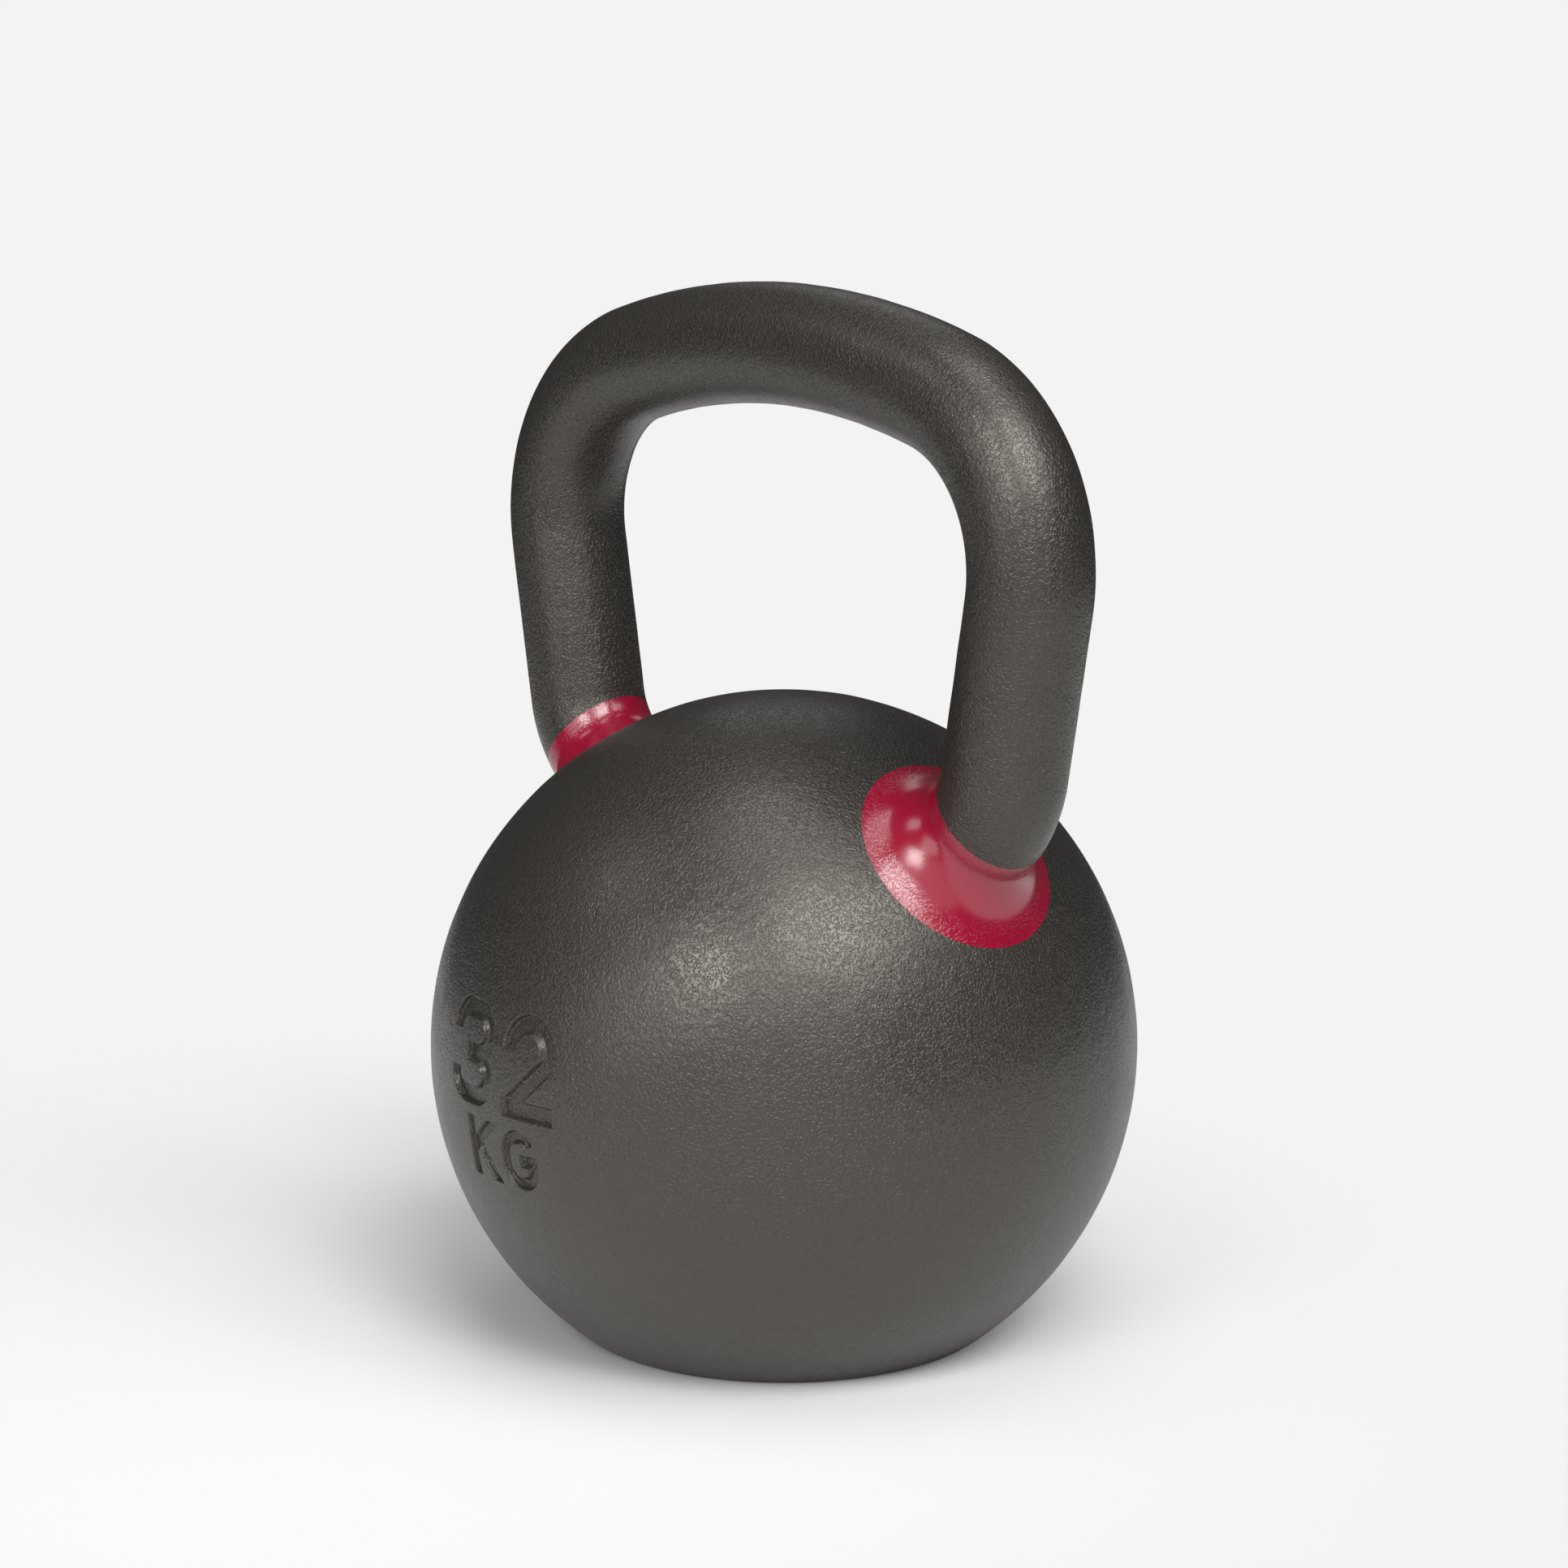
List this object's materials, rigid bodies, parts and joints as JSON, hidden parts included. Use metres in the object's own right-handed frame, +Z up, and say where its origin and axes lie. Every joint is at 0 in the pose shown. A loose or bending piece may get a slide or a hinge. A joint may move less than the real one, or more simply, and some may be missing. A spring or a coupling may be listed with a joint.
{
  "type": "kettlebell",
  "caption": "Round-bodied kettlebell with a flat base, a bent round handle, flared painted collars where the handle meets the ball, and a recessed weight marking.",
  "frame": {"origin": "centre of the flat base", "axes": "+Z up out of the base towards the handle; X along the handle; the recessed weight marking faces -Y"},
  "size_m": [0.2286, 0.2, 0.2959],
  "materials": {
    "iron_coating": "warm dark grey powder coat over cast iron, satin, with a fine cast grain",
    "collar_enamel": "crimson gloss enamel over cast iron"
  },
  "bodies": {
    "root": {"ball": "iron_coating", "handle": "iron_coating", "right_collar": "collar_enamel", "left_collar": "collar_enamel"}
  },
  "joints": []
}
